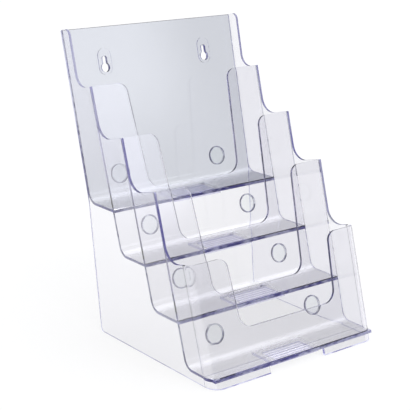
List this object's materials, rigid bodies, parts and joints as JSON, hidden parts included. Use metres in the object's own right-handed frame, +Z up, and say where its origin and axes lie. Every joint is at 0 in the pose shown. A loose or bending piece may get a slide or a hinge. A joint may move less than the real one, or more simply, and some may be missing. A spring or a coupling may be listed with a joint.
{
  "type": "magazine rack",
  "caption": "Stepped clear plastic magazine rack with leaning pockets, cut-out fronts, open hollow stand and keyholes for hanging.",
  "frame": {"origin": "centre of the bounding box's underside, on the surface the rack stands on", "axes": "+X to the right as seen from the front, +Y towards the back panel, +Z up"},
  "size_m": [0.2436, 0.2748, 0.3459],
  "materials": {
    "clear_plastic": "clear, glossy"
  },
  "bodies": {
    "root": {"side_left": "clear_plastic", "side_right": "clear_plastic", "back_panel": "clear_plastic", "tray_1": "clear_plastic", "tray_2": "clear_plastic", "tray_3": "clear_plastic", "front_1": "clear_plastic", "front_2": "clear_plastic", "front_3": "clear_plastic", "front_4": "clear_plastic", "skirt_left": "clear_plastic", "skirt_right": "clear_plastic", "seat_1": "clear_plastic", "seat_2": "clear_plastic", "seat_3": "clear_plastic", "seat_4": "clear_plastic", "boss_1_left": "clear_plastic", "boss_1_right": "clear_plastic", "boss_2_left": "clear_plastic", "boss_2_right": "clear_plastic", "boss_3_left": "clear_plastic", "boss_3_right": "clear_plastic", "boss_4_left": "clear_plastic", "boss_4_right": "clear_plastic"}
  },
  "joints": []
}
